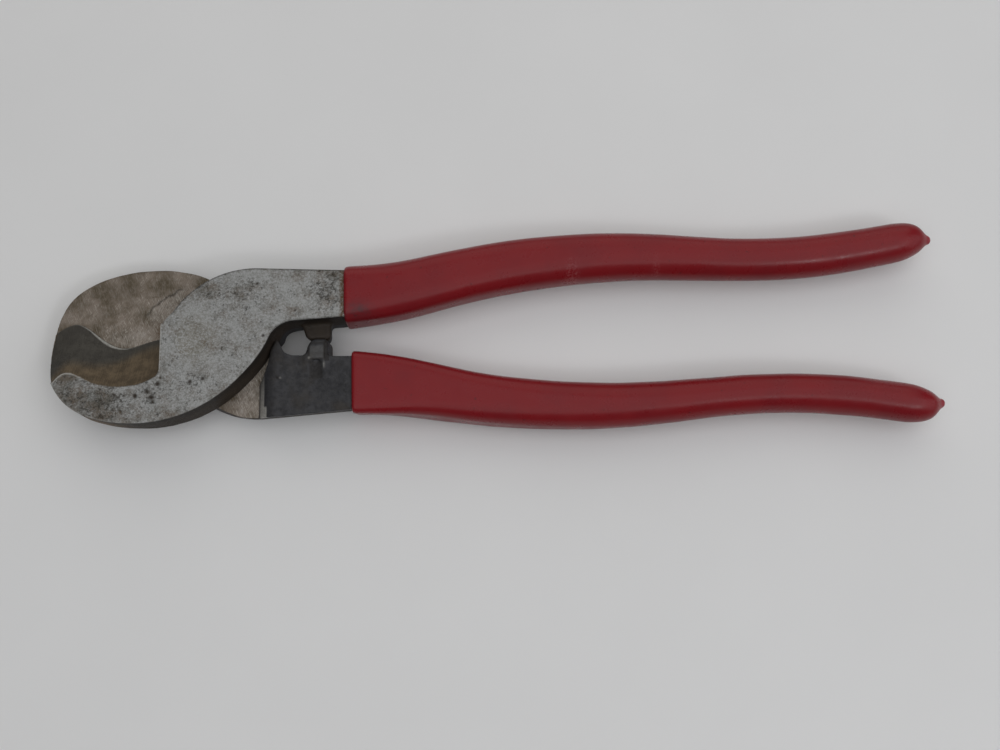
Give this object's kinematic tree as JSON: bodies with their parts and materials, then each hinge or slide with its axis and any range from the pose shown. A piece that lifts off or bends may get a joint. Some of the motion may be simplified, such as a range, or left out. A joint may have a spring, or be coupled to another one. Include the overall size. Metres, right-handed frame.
{
  "type": "cable cutter",
  "caption": "One-hand lever cable cutter: two hooked shearing jaws on a flush rivet, opened and closed by two long vinyl-dipped handles.",
  "frame": {"origin": "on the pivot axis, at the flat back face of the head", "axes": "+X from the pivot to the handles, +Y to the front lever's handle, +Z along the pivot axis out of the ground front face"},
  "size_m": [0.245, 0.0574, 0.0164],
  "materials": {
    "ground_steel": "ground, pitted and stained",
    "forged_steel": "forged, browned, ground mating face",
    "rivet_steel": "ground flush, lightly stained",
    "red_vinyl": "dipped, satin, scuffed"
  },
  "bodies": {
    "rear_lever": {"rear_half": "forged_steel", "pivot_rivet": "rivet_steel", "lower_grip": "red_vinyl"},
    "front_lever": {"front_half": "ground_steel", "upper_grip": "red_vinyl"}
  },
  "joints": [
    {"name": "pivot", "type": "hinge", "parent": "rear_lever", "child": "front_lever", "pos_m": [0, 0, 0.007], "axis": [0, 0, 1], "range_deg": [0, 57]}
  ]
}
